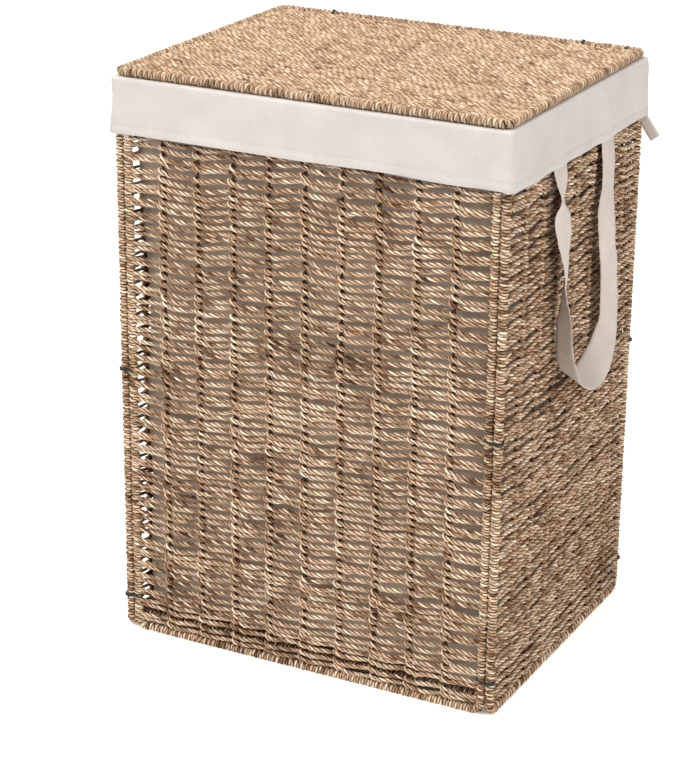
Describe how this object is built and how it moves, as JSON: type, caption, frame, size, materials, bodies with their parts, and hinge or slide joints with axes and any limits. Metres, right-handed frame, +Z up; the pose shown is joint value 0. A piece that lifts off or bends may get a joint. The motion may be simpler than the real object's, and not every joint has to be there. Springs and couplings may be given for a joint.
{
  "type": "laundry basket",
  "caption": "Tall laundry basket of woven cord on wire panels tied at the corners, with a hinged woven lid, a cloth liner turned down as a cuff and tape handles at the sides.",
  "frame": {"origin": "on the floor under the middle of the basket", "axes": "+Z up, +X to the basket's right as seen from the front, front facing -Y, lid hinged at +Y"},
  "size_m": [0.4978, 0.3554, 0.6295],
  "materials": {
    "frame_wire": "satin",
    "wrap_cord": "matte",
    "weave_cord": "matte",
    "lid_cord": "matte",
    "tie_wire": "satin",
    "liner_cloth": "matte",
    "handle_tape": "matte"
  },
  "bodies": {
    "basket": {"front_wire_frame": "frame_wire", "front_edge_wrap": "wrap_cord", "front_weave": "weave_cord", "back_wire_frame": "frame_wire", "back_edge_wrap": "wrap_cord", "back_weave": "weave_cord", "left_wire_frame": "frame_wire", "left_edge_wrap": "wrap_cord", "left_weave": "weave_cord", "right_wire_frame": "frame_wire", "right_edge_wrap": "wrap_cord", "right_weave": "weave_cord", "bottom_wire_frame": "frame_wire", "bottom_edge_wrap": "wrap_cord", "bottom_weave": "weave_cord", "corner_ties": "tie_wire", "bottom_ties": "tie_wire", "lid_hinge_loops": "tie_wire", "liner_bag": "liner_cloth", "liner_cuff": "liner_cloth", "handle_tabs": "handle_tape", "tie_tape_right": "handle_tape", "tie_tape_left": "handle_tape"},
    "lid": {"lid_wire_frame": "frame_wire", "lid_edge_wrap": "lid_cord", "lid_weave": "lid_cord"},
    "handle_right": {"handle_strap_right": "handle_tape"},
    "handle_left": {"handle_strap_left": "handle_tape"}
  },
  "joints": [
    {"name": "lid_hinge", "type": "hinge", "parent": "basket", "child": "lid", "pos_m": [0, 0.171, 0.625], "axis": [-1, 0, 0], "range_deg": [0, 175]},
    {"name": "handle_right_swing", "type": "hinge", "parent": "basket", "child": "handle_right", "pos_m": [0.2232, 0, 0.5569], "axis": [0, -1, 0], "range_deg": [0, 150]},
    {"name": "handle_left_swing", "type": "hinge", "parent": "basket", "child": "handle_left", "pos_m": [-0.2232, 0, 0.5569], "axis": [0, 1, 0], "range_deg": [0, 150]}
  ]
}
